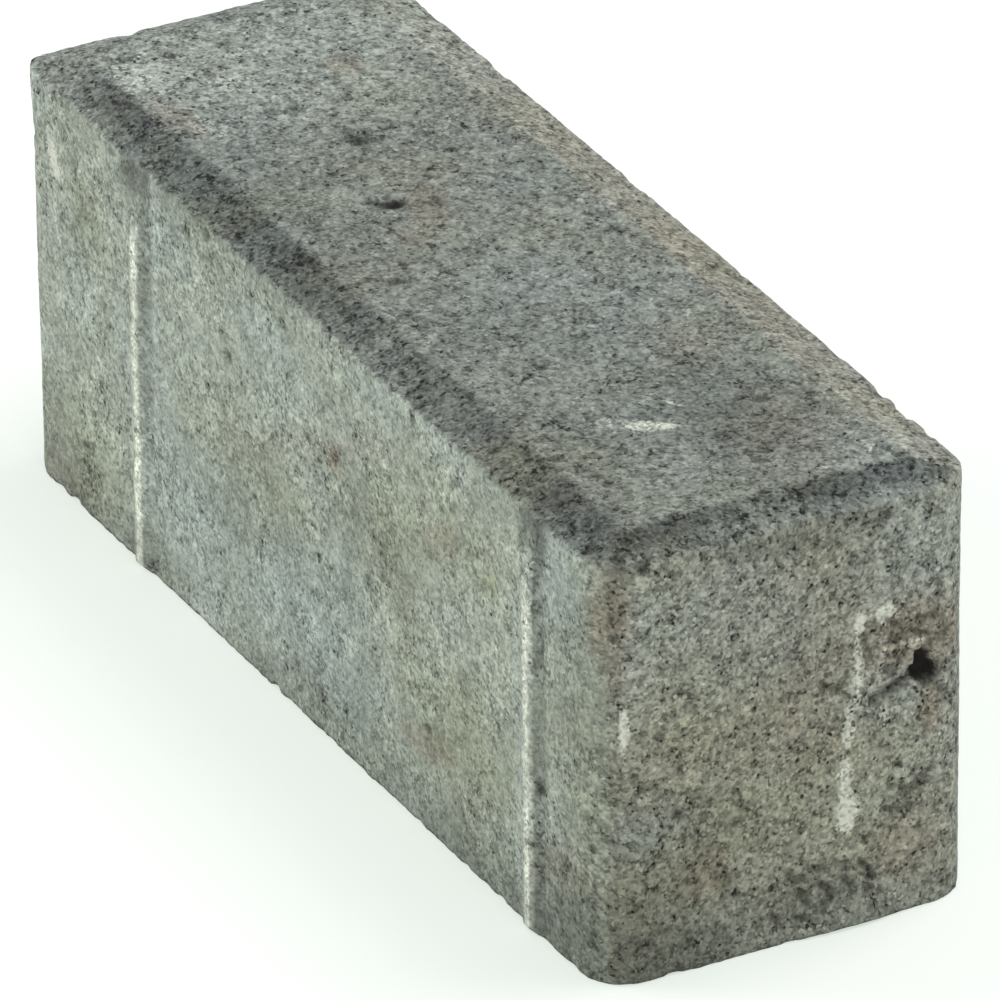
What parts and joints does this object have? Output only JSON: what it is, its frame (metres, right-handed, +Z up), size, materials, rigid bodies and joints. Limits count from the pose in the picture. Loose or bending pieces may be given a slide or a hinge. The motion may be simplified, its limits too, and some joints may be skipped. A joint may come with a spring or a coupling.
{
  "type": "concrete paver",
  "caption": "Rectangular pressed-concrete paving block with rounded upright corners, a shallow bevel round the wearing face and slim spacer ribs down its long sides.",
  "frame": {"origin": "middle of the bed face, the face that lies on the sand", "axes": "+X along the length, +Y across the width to a long side, +Z up through the wearing face"},
  "size_m": [0.21, 0.0726, 0.08],
  "materials": {
    "concrete": "weathered grey pressed concrete, gritty on the wearing face and ends, dragged smooth down the long sides"
  },
  "bodies": {
    "root": {"paver": "concrete"}
  },
  "joints": []
}
